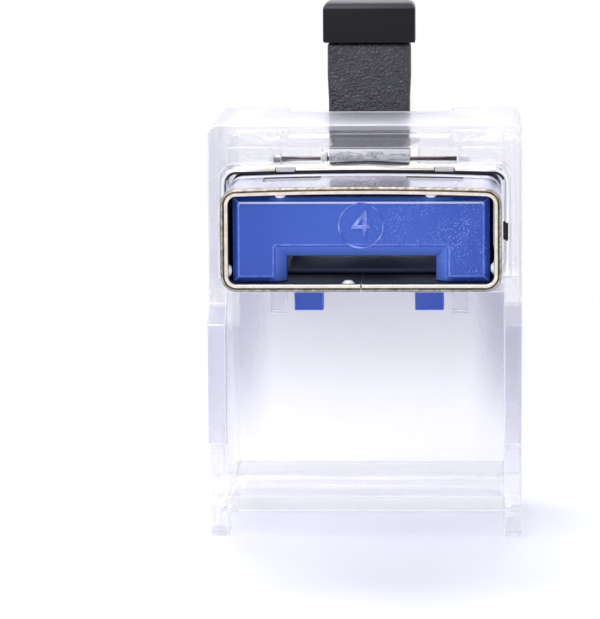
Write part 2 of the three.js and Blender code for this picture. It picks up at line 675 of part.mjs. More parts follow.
// Lever: arm and cam hub in one moulding, with a tongue for the cap and a bore for the axle.
function lever() {
  const shoulder = axleZ + ARM_LENGTH;
  const cam = camOutline().map(([y, z]) => [axleY + y, axleZ + z]);
  const [, camLow] = cam[0];
  const side = shapeOf([
    [axleY - ARM_AHEAD, shoulder],
    [axleY - ARM_AHEAD, camLow, SPRING_SHEET],
    ...cam.filter(([y]) => y < axleY + ARM_BEHIND - SLIDE_FIT / 2),
    [axleY + ARM_BEHIND, axleZ],
    [axleY + ARM_BEHIND, shoulder],
  ]);
  const baseHalf = ARM_WIDTH / 2 - ARM_STEP;
  const width = shapeOf([
    [-baseHalf, camLow - CUT],
    [baseHalf, camLow - CUT],
    [baseHalf, (housingTop + shoulder) / 2 - CUT],
    [ARM_WIDTH / 2, (housingTop + shoulder) / 2],
    [ARM_WIDTH / 2, shoulder],
    [-ARM_WIDTH / 2, shoulder],
    [-ARM_WIDTH / 2, (housingTop + shoulder) / 2],
    [-baseHalf, (housingTop + shoulder) / 2 - CUT],
  ]);
  const around = [axleY - lobeReach - CUT, axleY + ARM_BEHIND + CUT];
  const arm = alongX(side, [-ARM_WIDTH, ARM_WIDTH]).intersect(alongY(width, around));
  const [tongueY, tongueTop] = tonguePlace();
  const tongue = block([-TONGUE_WIDTH / 2, TONGUE_WIDTH / 2], tongueY, [shoulder - CUT, tongueTop]);
  const bore = roundBar(AXLE_RADIUS + RUNNING_FIT, [-ARM_WIDTH, ARM_WIDTH], [axleY, axleZ]);
  return joined(arm, tongue).subtract(bore);
}

// Where the lever's tongue lies: its span in Y and its top.
function tonguePlace() {
  const middle = axleY + (ARM_BEHIND - ARM_AHEAD) / 2;
  const half = TONGUE_THICKNESS / 2;
  return [[middle - half, middle + half], axleZ + ARM_LENGTH + TONGUE_LENGTH];
}

// Push-on cap, slightly wider than the arm all round.
function leverCap() {
  const low = axleZ + ARM_LENGTH + MOULD_FIT / 3;
  const top = axleZ + ARM_LENGTH + CAP_LENGTH;
  const y = [axleY - ARM_AHEAD - CAP_OVERLAP, axleY + ARM_BEHIND + CAP_OVERLAP];
  const front = shapeOf(rectangle([-CAP_WIDTH / 2, CAP_WIDTH / 2], [low, top], 0, CAP_CORNER));
  const side = shapeOf(rectangle(y, [low, top], 0, CAP_CORNER));
  const body = alongY(front, y).intersect(alongX(side, [-CAP_WIDTH, CAP_WIDTH]));
  const [tongueY, tongueTop] = tonguePlace();
  const pocket = block(
    [-TONGUE_WIDTH / 2 - SLIDE_FIT, TONGUE_WIDTH / 2 + SLIDE_FIT],
    [tongueY[0] - SLIDE_FIT, tongueY[1] + SLIDE_FIT],
    [low - CUT, tongueTop + SLIDE_FIT],
  );
  return body.subtract(pocket);
}

function leverAxle() {
  const end = earInner + AXLE_IN_EAR;
  return roundBar(AXLE_RADIUS, [-end, end], [axleY, axleZ]);
}

// White bush between the lever and the left ear, on the bare axle.
function bush() {
  const end = -ARM_WIDTH / 2 - MOULD_FIT / 3;
  const bore = roundBar(AXLE_RADIUS + RUNNING_FIT, [end - BUSH_LENGTH - CUT, end + CUT], [axleY, axleZ]);
  return roundBar(BUSH_RADIUS, [end - BUSH_LENGTH, end], [axleY, axleZ]).subtract(bore);
}

// Thin bright plate on the front of the lever's hub.
function hubPlate() {
  const half = ARM_WIDTH / 2 - ARM_STEP;
  const rear = axleY - ARM_AHEAD - MOULD_FIT / 3;
  const low = axleZ + PLATE_ABOVE_AXLE;
  return block([-half, half], [rear - PLATE_THICKNESS, rear], [low, low + PLATE_HEIGHT]);
}

// Finishes
const clearPlastic = { color: 0xe9eaf4, roughness: 0.08, metalness: 0, transparent: true, opacity: 0.35 };
const nickel = { color: 0xc9c3b8, roughness: 0.22, metalness: 1 };
const stainless = { color: 0xb9bcc2, roughness: 0.2, metalness: 1 };
const tinnedCopper = { color: 0xcfcac2, roughness: 0.3, metalness: 1 };
const bluePlastic = { color: 0x3f5fc9, roughness: 0.45, metalness: 0 };
const greyPlastic = { color: 0x3b3c44, roughness: 0.6, metalness: 0 };
const capPlastic = { color: 0x33343b, roughness: 0.5, metalness: 0 };
const whitePlastic = { color: 0xf0f0ee, roughness: 0.4, metalness: 0 };
const blackRubber = { color: 0x121214, roughness: 0.7, metalness: 0 };

function piece(name, solid, finish) {
  const mesh = new THREE.Mesh(geometryOf(solid), new THREE.MeshStandardMaterial(finish));
  mesh.name = name;
  return mesh;
}

const connector = new THREE.Group();
connector.add(
  piece('housing', housing(), clearPlastic),
  piece('rear_cover', rearCover(), clearPlastic),
  piece('contact_shell', contactShell(), nickel),
  piece('collar', collar(), nickel),
  piece('seal', seal(), blackRubber),
  piece('slot_plug_left', slotPlug(-1), blackRubber),
  piece('slot_plug_right', slotPlug(1), blackRubber),
  piece('wire_guide', wireGuide(), bluePlastic),
  piece('busbar', busbar(), tinnedCopper),
  piece('clamp_spring_left', clampSpring(-SPRING_CENTRE), stainless),
  piece('clamp_spring_right', clampSpring(SPRING_CENTRE), stainless),
  piece('lever', lever(), greyPlastic),
  piece('hub_plate', hubPlate(), stainless),
  piece('lever_cap', leverCap(), capPlastic),
  piece('lever_axle', leverAxle(), stainless),
  piece('lever_bush', bush(), whitePlastic),
);
connector.position.y = (SHELL_OUTSIDE - coverRear) / 2;

export default connector;
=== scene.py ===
import math

import bmesh
import bpy
from mathutils import Matrix, Vector


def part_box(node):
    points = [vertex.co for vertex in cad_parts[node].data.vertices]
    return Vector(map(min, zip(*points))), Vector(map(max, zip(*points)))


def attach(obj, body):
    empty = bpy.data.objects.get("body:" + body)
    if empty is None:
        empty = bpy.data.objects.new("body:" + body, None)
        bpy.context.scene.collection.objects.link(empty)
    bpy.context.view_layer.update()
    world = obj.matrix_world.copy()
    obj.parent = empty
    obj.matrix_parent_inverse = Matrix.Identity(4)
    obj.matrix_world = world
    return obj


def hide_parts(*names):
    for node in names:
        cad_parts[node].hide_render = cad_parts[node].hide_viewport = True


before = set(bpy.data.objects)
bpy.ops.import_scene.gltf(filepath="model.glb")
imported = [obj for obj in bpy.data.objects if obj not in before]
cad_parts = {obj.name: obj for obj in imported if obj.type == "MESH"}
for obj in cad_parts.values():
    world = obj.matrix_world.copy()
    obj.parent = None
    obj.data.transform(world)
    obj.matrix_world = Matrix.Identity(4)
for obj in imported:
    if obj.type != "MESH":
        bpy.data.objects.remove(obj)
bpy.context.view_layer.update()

scene = bpy.context.scene
scene.view_settings.view_transform = "Standard"

# The camera
# It stands about 190 mm in front of the wire entry, a little above it and to its right,
# with a long lens. Its place and its turn were fitted to the edges of the clear frame.
CAMERA_PLACE = Vector((0.00542, -0.197345, 0.03389))
CAMERA_YAW = math.radians(-2.465)
CAMERA_PITCH = math.radians(6.97)
CAMERA_ROLL = math.radians(0.321)
CAMERA_LENS = 255.9
CAMERA_SENSOR = 36
CAMERA_NEAREST = 0.01
CAMERA_FARTHEST = 10

yaw = Matrix.Rotation(CAMERA_YAW, 3, "Z")
pitch = Matrix.Rotation(CAMERA_PITCH, 3, "X")
roll = Matrix.Rotation(-CAMERA_ROLL, 3, "Y")
to_the_right, ahead, upwards = roll @ pitch @ yaw
turn = Matrix((to_the_right, upwards, -ahead)).transposed().to_4x4()

camera = bpy.data.objects.new("camera", bpy.data.cameras.new("camera"))
camera.matrix_world = Matrix.Translation(CAMERA_PLACE) @ turn
camera.data.sensor_width = CAMERA_SENSOR
camera.data.lens = CAMERA_LENS
camera.data.clip_start = CAMERA_NEAREST
camera.data.clip_end = CAMERA_FARTHEST
scene.collection.objects.link(camera)
scene.camera = camera

# The studio
# A white sweep under and behind the connector, a soft sky, one softbox high at the front left
# and one high behind, which lights the edges of the clear mouldings.
MM = 0.001
CONNECTOR_MIDDLE = Vector((0, 0, 12 * MM))
SWEEP_HALF = 1.0
PAPER_FADE = (30, 90)


def colour(hexadecimal):
    """An sRGB hex value as the linear colour that the shaders take."""
    levels = [int(hexadecimal[start:start + 2], 16) / 255 for start in (1, 3, 5)]
    linear = [v / 12.92 if v <= 0.04045 else ((v + 0.055) / 1.055) ** 2.4 for v in levels]
    return (*linear, 1)


def add_node(tree, kind, sockets=None, **settings):
    """Adds one node. sockets maps an input's name or index to a value or to another node's output."""
    made = tree.nodes.new(kind)
    for name, value in settings.items():
        setattr(made, name, value)
    for name, value in (sockets or {}).items():
        if isinstance(value, bpy.types.NodeSocket):
            tree.links.new(value, made.inputs[name])
        else:
            made.inputs[name].default_value = value
    return made


def start_material(name):
    """An empty material and its node tree."""
    material = bpy.data.materials.new(name)
    material.use_nodes = True
    material.node_tree.nodes.clear()
    return material, material.node_tree


def own_place(tree):
    """The object's own coordinates, so that a pattern moves with its piece."""
    return add_node(tree, "ShaderNodeTexCoord").outputs["Object"]


def maths(tree, operation, first, second):
    sockets = {0: first, 1: second}
    return add_node(tree, "ShaderNodeMath", sockets, operation=operation, use_clamp=True).outputs[0]


def ramp(tree, value, start, end, most=1.0):
    """A soft step from 0 at start to most at end, along one coordinate, in millimetres."""
    return add_node(tree, "ShaderNodeMapRange", {
        "Value": value, "From Min": start * MM, "From Max": end * MM, "To Min": 0.0, "To Max": most,
    }, interpolation_type="SMOOTHSTEP").outputs[0]


def softbox(name, place, size, watts):
    """A square lamp that looks at the middle of the connector."""
    lamp = bpy.data.objects.new(name, bpy.data.lights.new(name, "AREA"))
    lamp.data.size = size
    lamp.data.energy = watts
    aim = CONNECTOR_MIDDLE - Vector(place)
    lamp.matrix_world = Matrix.Translation(place) @ aim.to_track_quat("-Z", "Y").to_matrix().to_4x4()
    scene.collection.objects.link(lamp)


# The sky lights the paper softly, and is plain white wherever it is seen, also through the
# clear plastic and in a reflection.
world = bpy.data.worlds.new("white sweep")
world.use_nodes = True
scene.world = world
sky = world.node_tree
sky.nodes.clear()
rays = add_node(sky, "ShaderNodeLightPath").outputs
seen = maths(sky, "MAXIMUM", rays["Is Camera Ray"], rays["Is Transmission Ray"])
seen = maths(sky, "MAXIMUM", seen, rays["Is Glossy Ray"])
dim = add_node(sky, "ShaderNodeBackground", {"Color": colour("#eef0fb"), "Strength": 0.55})
white = add_node(sky, "ShaderNodeBackground", {"Color": colour("#ffffff"), "Strength": 1.0})
mixed = add_node(sky, "ShaderNodeMixShader", {0: seen, 1: dim.outputs[0], 2: white.outputs[0]})
add_node(sky, "ShaderNodeOutputWorld", {"Surface": mixed.outputs[0]})

# Matt white paper: it shows white, but still takes the connector's soft shadow. Far from the
# connector it goes over into the plain white of the sky.
paper, tree = start_material("white paper sweep")
away = add_node(tree, "ShaderNodeVectorMath", {0: own_place(tree)}, operation="LENGTH")
fade = ramp(tree, away.outputs["Value"], *PAPER_FADE)
matt = add_node(tree, "ShaderNodeBsdfDiffuse", {"Color": colour("#efeff5")})
glow = add_node(tree, "ShaderNodeEmission", {"Color": colour("#f8f8ff"), "Strength": 0.17})
near = add_node(tree, "ShaderNodeAddShader", {0: matt.outputs[0], 1: glow.outputs[0]})
far = add_node(tree, "ShaderNodeEmission", {"Color": colour("#ffffff"), "Strength": 1.0})
both = add_node(tree, "ShaderNodeMixShader", {0: fade, 1: near.outputs[0], 2: far.outputs[0]})
add_node(tree, "ShaderNodeOutputMaterial", {"Surface": both.outputs[0]})

corners = [(SWEEP_HALF * x, SWEEP_HALF * y, 0) for x, y in ((-1, -1), (1, -1), (1, 1), (-1, 1))]
mesh = bpy.data.meshes.new("floor")
mesh.from_pydata(corners, [], [(0, 1, 2, 3)])
mesh.materials.append(paper)
floor = bpy.data.objects.new("floor", mesh)
scene.collection.objects.link(floor)

softbox("front softbox", place=(-0.12, -0.28, 0.3), size=0.26, watts=0.8)
softbox("rear softbox", place=(-0.05, 0.22, 0.33), size=0.3, watts=1.0)

# The clear frame
# One injection moulding in clear polycarbonate: front wall, top, floor, side walls that run
# down into four toes, and the bottom bar. Its edges are eased by a twentieth of a millimetre.
SHARP_ANGLE = math.radians(32)
FLAT_ANGLE = math.radians(1)
WELD = 0.001 * MM


def bake(piece):
    """Gives a piece the plain mesh that its modifiers make, smooth up to its sharp edges."""
    baked = bpy.data.meshes.new_from_object(piece.evaluated_get(bpy.context.evaluated_depsgraph_get()))
    piece.modifiers.clear()
    piece.data = baked
    baked.shade_smooth()
    baked.set_sharp_from_angle(angle=SHARP_ANGLE)


def finished(node, name, body, material, bevel, steps=2, edge=None):
    """A merged copy of a CAD node with eased edges, which rides on its body in the node's place."""
    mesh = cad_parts[node].data.copy()
    mesh.materials.clear()
    mesh.materials.append(material)
    if edge:
        mesh.materials.append(edge)
    shell = bmesh.new()
    shell.from_mesh(mesh)
    bmesh.ops.remove_doubles(shell, verts=shell.verts, dist=WELD)
    bmesh.ops.dissolve_limit(shell, angle_limit=FLAT_ANGLE, verts=shell.verts, edges=shell.edges)
    shell.to_mesh(mesh)
    shell.free()
    piece = bpy.data.objects.new(name, mesh)
    scene.collection.objects.link(piece)
    if bevel:
        ease = piece.modifiers.new("eased edges", "BEVEL")
        ease.width = bevel * MM
        ease.segments = steps
        ease.limit_method = "ANGLE"
        ease.angle_limit = SHARP_ANGLE
        ease.use_clamp_overlap = False
        ease.miter_outer = "MITER_ARC"
        if edge:
            ease.material = 1
    bake(piece)
    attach(piece, body)
    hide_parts(node)


def axes(tree, place):
    """X, Y and Z of a place."""
    return add_node(tree, "ShaderNodeSeparateXYZ", {0: place}).outputs


def from_middle(tree, x):
    """The distance from the connector's middle plane."""
    return add_node(tree, "ShaderNodeMath", {0: x}, operation="ABSOLUTE").outputs[0]


def times(tree, *shares):
    """The product of two or more shares."""
    product = shares[0]
    for share in shares[1:]:
        product = maths(tree, "MULTIPLY", product, share)
    return product


def span(tree, value, least, most, start=0.0, end=1.0):
    """least where the value is start, most where it is end, and evenly in between."""
    return add_node(tree, "ShaderNodeMapRange", {
        "Value": value, "From Min": start, "From Max": end, "To Min": least, "To Max": most,
    }).outputs[0]


def blend(tree, share, under, over):
    """The colour under where the share is 0, and the colour over where it is 1."""
    sockets = {0: share, 6: under, 7: over}
    return add_node(tree, "ShaderNodeMix", sockets, data_type="RGBA").outputs[2]


def noise(tree, place, per_mm, detail):
    """Noise with so many patches per millimetre. Real grain that is finer than a tenth of a
    millimetre would blur away in the picture, so it is drawn coarser, at about that size."""
    sockets = {"Vector": place, "Scale": per_mm / MM, "Detail": detail}
    return add_node(tree, "ShaderNodeTexNoise", sockets).outputs[0]


def bump(tree, height, strength, depth):
    """A normal that follows a pattern of the given depth, in millimetres."""
    sockets = {"Height": height, "Strength": strength, "Distance": depth * MM}
    return add_node(tree, "ShaderNodeBump", sockets).outputs[0]


def principled(tree, sockets):
    """Ends a material with one principled shader."""
    body = add_node(tree, "ShaderNodeBsdfPrincipled", sockets)
    add_node(tree, "ShaderNodeOutputMaterial", {"Surface": body.outputs[0]})


# Clear polycarbonate, moulded in a polished tool: glossy, with a very slight flow waviness. The
# walls are thin, so most of what is behind them shows unbent, and less of it at a flat angle.
# Each moulding lays out its own lavender haze, which in places is painted shade, and its own painted
# highlight.
CLEAR_THROUGH, HAZY_THROUGH = 0.86, 0.3
CLEAR_TINT, LAVENDER_TINT = colour("#f0f0fa"), colour("#cfcde0")
CLEAR_ROUGH, HAZY_ROUGH = 0.05, 0.35
HAZY_COVER = 0.35
COVER_FACING = 0.38
COVER_THICK, COVER_SKIN = 0.8, 0.68
SLANT_FROM, SLANT_TO = 0.5, 1.0
THICK_BELOW, SKIN_ABOVE = 3 * MM, 9 * MM
SHADE_LOW, SHADE_HIGH = 0.7, 0.54
SHADE_FROM, SHADE_TO = 8 * MM, 12 * MM


def clear_plastic(name, add_haze_and_shade):
    """The second argument gives, from the tree, X, Y and Z, how hazy or shaded, how lavender and how much
    painted highlight it is.
    """
    material, tree = start_material(name)
    place = own_place(tree)
    x, y, z = axes(tree, place)
    # Haze and painted shade make the plastic milkier, and the painted highlight makes it white.
    haze_and_shade, lavender, painted_highlight = add_haze_and_shade(tree, x, y, z)
    through = maths(tree, "SUBTRACT", span(tree, haze_and_shade, CLEAR_THROUGH, HAZY_THROUGH), painted_highlight)
    facing = add_node(tree, "ShaderNodeLayerWeight", {"Blend": 0.5}).outputs["Facing"]
    # The top is a thin skin. The bar and the toes are thick, and show less of what is behind them.
    heavy = span(tree, z, COVER_THICK, COVER_SKIN, THICK_BELOW, SKIN_ABOVE)
    thick = span(tree, facing, COVER_FACING, heavy, SLANT_FROM, SLANT_TO)
    milky = span(tree, haze_and_shade, 0.0, HAZY_COVER)
    cover = maths(tree, "MAXIMUM", thick, milky)
    cover = maths(tree, "ADD", cover, milky)
    cover = maths(tree, "ADD", cover, painted_highlight)
    # Real light goes on through clear plastic, so the lamps lose little of theirs in it.
    shadow = add_node(tree, "ShaderNodeLightPath").outputs["Is Shadow Ray"]
    shade = span(tree, z, SHADE_LOW, SHADE_HIGH, SHADE_FROM, SHADE_TO)
    principled(tree, {
        "Base Color": blend(tree, lavender, CLEAR_TINT, LAVENDER_TINT),
        "Roughness": span(tree, haze_and_shade, CLEAR_ROUGH, HAZY_ROUGH),
        "IOR": 1.5,
        "Transmission Weight": through,
        "Alpha": times(tree, cover, span(tree, shadow, 1.0, shade)),
        "Normal": bump(tree, noise(tree, place, per_mm=0.26, detail=1.0), strength=0.03, depth=0.1),
    })
    return material


# The pads stand before the front wall. They are hazy lavender all over, more so towards their heads and on
# the left. The left edge of the wall above them has painted shade in the same lavender haze. The top is
# hazy all over, and a painted highlight lays a white line just behind its front edge. Places are in
# millimetres, as they are for every ramp.
PAD_STEP = 1.3
PAD_SKIN = 0.3
PAD_HAZE = 0.65
PAD_RISE = {"start": 3.9, "end": 8.0, "most": 0.45}
PAD_RIGHT_LESS = {"start": -1.0, "end": 1.0, "most": 0.2}
LEFT_EDGE = {"start": -6.0, "end": -6.3, "most": 0.45}
LEFT_EDGE_FOOT = (10.0, 11.0)
TOP_SKIN = (18.18, 18.24)
TOP_LEVEL = (-4.32, -4.28)
TOP_RIM = {"start": -3.9, "end": -4.05, "most": 0.85}
TOP_HAZE, TOP_HAZE_EXTRA = 0.66, 0.1


def housing_haze_and_shade(tree, x, y, z):
    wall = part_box("housing")[0][1] / MM + PAD_STEP
    rise = maths(tree, "ADD", ramp(tree, z, **PAD_RISE), PAD_HAZE)
    less = maths(tree, "SUBTRACT", 1.0, ramp(tree, x, **PAD_RIGHT_LESS))
    pads = times(tree, ramp(tree, y, wall, wall - PAD_SKIN), rise, less)
    # Painted shade on the left edge of the wall.
    edge = times(tree, ramp(tree, x, **LEFT_EDGE), ramp(tree, z, *LEFT_EDGE_FOOT))
    lavender = maths(tree, "MAXIMUM", pads, edge)
    top = ramp(tree, z, *TOP_SKIN)
    level = ramp(tree, y, *TOP_LEVEL)
    top_haze = maths(tree, "ADD", times(tree, level, TOP_HAZE_EXTRA), TOP_HAZE)
    haze_and_shade = maths(tree, "MAXIMUM", lavender, times(tree, top, top_haze))
    # Painted highlight: a white line along the top's front edge.
    painted_highlight = times(tree, ramp(tree, y, **TOP_RIM), level, top)
    return haze_and_shade, lavender, painted_highlight


clear = clear_plastic("clear polycarbonate, moulded", housing_haze_and_shade)

# The same plastic on a rounded edge, painted white and milky as a highlight: a thin pale line.
clear_edge, tree = start_material("clear polycarbonate, eased edge, painted highlight")
principled(tree, {
    "Base Color": colour("#ffffff"),
    "Roughness": 0.15,
    "IOR": 1.5,
    "Transmission Weight": 0.4,
    "Alpha": 0.8,
})

finished("housing", "clear_frame", "frame", clear, bevel=0.05, edge=clear_edge)

# The rear cover
# Clear polycarbonate as well, pushed on from behind with two inner tongues. The closed lever lies in its
# channel. Its thin back panel has painted shade: a lavender haze that grows towards the top and the sides,
# for the shadow of the block above.
PANEL_RISE = {"start": 1.2, "end": 11.5, "most": 0.7}
PANEL_SIDES = {"start": 4.4, "end": 6.1, "most": 0.42}
PANEL_SIDES_RISE = (0.8, 7.0)
PANEL_HEAD = (11.2, 11.6)
BEHIND_WALLS = (6.1, 6.25)
BEHIND_WALLS_FOOT = (8.0, 8.6)


# Painted shade on the back panel: heavier towards the top and the sides, none above its head, nor behind
# the upper part of the side walls.
def panel_haze_and_shade(tree, x, y, z):
    out = from_middle(tree, x)
    sides = times(tree, ramp(tree, out, **PANEL_SIDES), ramp(tree, z, *PANEL_SIDES_RISE))
    level = maths(tree, "ADD", ramp(tree, z, **PANEL_RISE), sides)
    low = maths(tree, "SUBTRACT", 1.0, ramp(tree, z, *PANEL_HEAD))
    behind_walls = times(tree, ramp(tree, out, *BEHIND_WALLS), ramp(tree, z, *BEHIND_WALLS_FOOT))
    between = maths(tree, "SUBTRACT", 1.0, behind_walls)
    haze_and_shade = times(tree, low, between, level)
    return haze_and_shade, haze_and_shade, 0.0


clear_panel = clear_plastic("clear polycarbonate, painted shade on its panel", panel_haze_and_shade)
finished("rear_cover", "clear_cover", "frame", clear_panel, bevel=0.06, edge=clear_edge)

# The entry shell
# A strip of nickel-plated sheet, bent round a mandrel into a box section, with its butt seam
# in the middle of the floor, small dimples that hold the wire guide, and two latch windows.
RUBBED = {"start": -6.0, "end": -5.2, "most": 0.32}
SHELL_SHARP_ANGLE = math.radians(50)
SHEET = 0.32 * MM
SHELL_CORNER = 0.68 * MM
SHELL_CROWN = 0.1 * MM
SEAM = 0.08 * MM
TIGHT_SEAM = 0.01 * MM
SEAM_MOUTH = 0.3 * MM
FLAT_STEPS = 100
CORNER_STEPS = 12
SIDE_STEPS = 34
shell_low, shell_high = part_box("contact_shell")
shell_front = shell_low[1]


def stretched_noise(tree, per_mm, detail):
    """Noise drawn out by rolling or grinding, with so many patches per millimetre on each axis."""
    sockets = {"Vector": own_place(tree), "Scale": [patches / MM for patches in per_mm]}
    scaled = add_node(tree, "ShaderNodeMapping", sockets)
    sockets = {"Vector": scaled.outputs[0], "Scale": 1.0, "Detail": detail}
    return add_node(tree, "ShaderNodeTexNoise", sockets).outputs[0]


def two_tone(tree, pattern, low, high):
    """A pattern as two colours. low and high each hold a level in the pattern and its colour."""
    tint = add_node(tree, "ShaderNodeValToRGB", {"Fac": pattern})
    for stop, (level, shade) in zip(tint.color_ramp.elements, (low, high)):
        stop.position = level
        stop.color = colour(shade)
    return tint.outputs[0]


def patchy_material(name, per_mm, detail, low, high, sockets):
    """A material in two colours that go over into each other in cloudy patches."""
    material, tree = start_material(name)
    patches = noise(tree, own_place(tree), per_mm, detail)
    principled(tree, {"Base Color": two_tone(tree, patches, low, high), **sockets})
    return material


nickel, tree = start_material("bright nickel plate on bent sheet")
drawn = stretched_noise(tree, per_mm=(4.0, 0.3, 4.0), detail=3.0)
# The collar was slid on from the front, which rubbed the plate matt just ahead of it.
rubbed_and_painted_light = ramp(tree, axes(tree, own_place(tree))["Y"], **RUBBED)
principled(tree, {
    "Base Color": colour("#dddeeb"),
    "Specular Tint": colour("#e8eaf9"),
    "Metallic": 0.9,
    "Roughness": maths(tree, "ADD", span(tree, drawn, 0.12, 0.22), rubbed_and_painted_light),
    "Normal": bump(tree, drawn, strength=0.04, depth=0.02),
})

# The inside of the shell: dull plate, drawn darker than the outside as painted shade.
inside = patchy_material(
    "dull nickel plate, inside, in painted shade", per_mm=1.5, detail=4.0, low=(0.0, "#3a3f4d"), high=(1.0, "#565c6e"),
    sockets={"Metallic": 0.5, "Roughness": 0.5},
)

# The same plate where the strip was sheared: warmer, and satin.
sheared = patchy_material(
    "nickel plate on a sheared edge", per_mm=3.0, detail=3.0, low=(0.3, "#e0d7c8"), high=(0.7, "#f4ecdf"),
    sockets={"Metallic": 1.0, "Roughness": 0.25},
)

# The rolled edge of the strip, drawn warm grey and mottled as a painted reflection.
rolled_edge = patchy_material(
    "nickel plate on a rolled edge, painted reflection", per_mm=5.0, detail=4.0,
    low=(0.35, "#8d8578"), high=(0.65, "#d2c9ba"), sockets={"Metallic": 1.0, "Roughness": 0.3},
)

# A dark line of painted shade, between the rolled edge and the lip, and along the windows' upper edges.
shade_line = patchy_material(
    "dark painted shade line", per_mm=2.5, detail=3.0, low=(0.3, "#2b261f"), high=(0.75, "#6a6154"),
    sockets={"Metallic": 0.7, "Roughness": 0.4},
)

# White satin plate: over a dimple it is a painted glint, brighter than the plate around it. The windows'
# walls and the strip's ends are in it as well.
satin_and_glint, tree = start_material("white satin nickel, painted glint on the dimples")
marks = noise(tree, own_place(tree), per_mm=4.0, detail=3.0)
principled(tree, {
    "Base Color": colour("#fdfcf8"),
    "Metallic": 0.15,
    "Roughness": span(tree, marks, 0.25, 0.4),
})

# The shell's materials, by their place in the mesh.
SHELL_MATERIALS = (nickel, rolled_edge, sheared, inside, shade_line, satin_and_glint)
NICKEL, ROLLED_EDGE, SHEARED, INSIDE, SHADE_LINE, SATIN_AND_GLINT = range(len(SHELL_MATERIALS))


def shell_section(inset, seam):
    """The strip's section in (x, z), from one side of the seam round to the other."""
    half = shell_high[0] - inset
    floor = shell_low[2] + inset
    shoulder = shell_high[2] - SHELL_CROWN - inset
    radius = SHELL_CORNER - inset
    flat = half - radius
    bends = [math.radians(90 / CORNER_STEPS * step) for step in range(1, CORNER_STEPS + 1)]
    points = [(seam / 2 + (flat - seam / 2) * step / FLAT_STEPS, floor) for step in range(FLAT_STEPS + 1)]
    points += [
        (flat + radius * math.sin(bend), floor + radius - radius * math.cos(bend)) for bend in bends
    ]
    foot = points[-1][1]
    side = shoulder - radius - foot
    points += [(half, foot + side * step / SIDE_STEPS) for step in range(1, SIDE_STEPS + 1)]
    points += [
        (flat + radius * math.cos(bend), shoulder - radius + radius * math.sin(bend)) for bend in bends
    ]
    inwards = [1 - step / FLAT_STEPS for step in range(1, FLAT_STEPS + 1)]
    points += [(flat * share, shoulder + SHELL_CROWN * (1 - share ** 2)) for share in inwards]
    return points + [(-x, z) for x, z in reversed(points[:-1])]


# Five dimples in one row behind the rim: two in the top, one in each side, one in the floor.
DIMPLE_BACK = 0.4 * MM
DIMPLE_LENGTH = 0.6 * MM
DIMPLE_WIDTH = 0.42 * MM
DIMPLE_DEPTH = 0.14 * MM
DIMPLE_SLOPE = 0.55
TOP_DIMPLES = (-3.45 * MM, 2.98 * MM)
LEFT_DIMPLE, RIGHT_DIMPLE = 12.7 * MM, 12.8 * MM
FLOOR_DIMPLE = -0.55 * MM
dimple_row = shell_front + DIMPLE_BACK
dimples = [(Vector((x, dimple_row, shell_high[2])), Vector((0, 0, -1))) for x in TOP_DIMPLES]
dimples += [
    (Vector((shell_low[0], dimple_row, LEFT_DIMPLE)), Vector((1, 0, 0))),
    (Vector((shell_high[0], dimple_row, RIGHT_DIMPLE)), Vector((-1, 0, 0))),
    (Vector((FLOOR_DIMPLE, dimple_row, shell_low[2])), Vector((0, 0, 1))),
]


def press(point):
    """How far and which way a point of the strip moves where a dimple is pressed."""
    for middle, inwards in dimples:
        across = point - middle
        depth = across.dot(inwards)
        beside = (across - inwards * depth) * 2
        away = math.hypot(beside.y / DIMPLE_WIDTH, math.hypot(beside.x, beside.z) / DIMPLE_LENGTH)
        if depth < 2 * SHEET and away < 1:
            slope = min(1, (1 - away) / DIMPLE_SLOPE)
            return inwards * DIMPLE_DEPTH * slope * slope * (3 - 2 * slope)
    return Vector((0, 0, 0))


# Two latch windows in the shell's top, punched before the strip was bent. Their sides lie at
# steps of the section, counted from the middle of the top.
WINDOW_NEAR = 3.2 * MM
WINDOW_FAR = 5.16 * MM
WINDOW_INNER_STEP = 35
WINDOW_OUTER_STEP = 82
WINDOW_SHADE_LINE = 0.06 * MM

# The strip's profile along Y: the outer wall from the back to the front, the rolled rim, the
# sheared lip, and the inner wall back again. Each point is an inset from the outer wall and a
# distance behind the rim. The rows are dense where the dimples are pressed.
RIM_OUTER_ROUND = 0.17 * MM
RIM_INNER_ROUND = 0.06 * MM
RIM_STEPS = 6
LIP_STEPS = 4
BEHIND_WINDOWS = 7 * MM
BEHIND_DIMPLES = 0.9 * MM
DIMPLE_ROWS = 18
FIRST_DIMPLE_ROW = 0.7
ROW_SPACING = 0.035
rows = [shell_high[1] - shell_front, BEHIND_WINDOWS, WINDOW_FAR, WINDOW_NEAR, BEHIND_DIMPLES]
far_row, near_row = rows.index(WINDOW_FAR), rows.index(WINDOW_NEAR)
rows += [(FIRST_DIMPLE_ROW - ROW_SPACING * step) * MM for step in range(DIMPLE_ROWS)]
walls = [(0.0, row) for row in rows]
rim = [
    (RIM_OUTER_ROUND * (1 - math.cos(turned)), RIM_OUTER_ROUND * (1 - math.sin(turned)))
    for turned in [math.radians(90 / RIM_STEPS * step) for step in range(RIM_STEPS + 1)]
]
lip = [
    (SHEET - RIM_INNER_ROUND * (1 - math.sin(turned)), RIM_INNER_ROUND * (1 - math.cos(turned)))
    for turned in [math.radians(90 / LIP_STEPS * step) for step in range(LIP_STEPS + 1)]
]
profile = walls + rim + lip + [(SHEET, row) for row in reversed(rows)]
finish = [NICKEL] * (len(walls) - 1) + [ROLLED_EDGE] * (len(rim) - 2) + [SHADE_LINE] * 2
finish += [SHEARED] * len(lip)
finish += [INSIDE] * (len(profile) - len(finish) - 1) + [NICKEL]

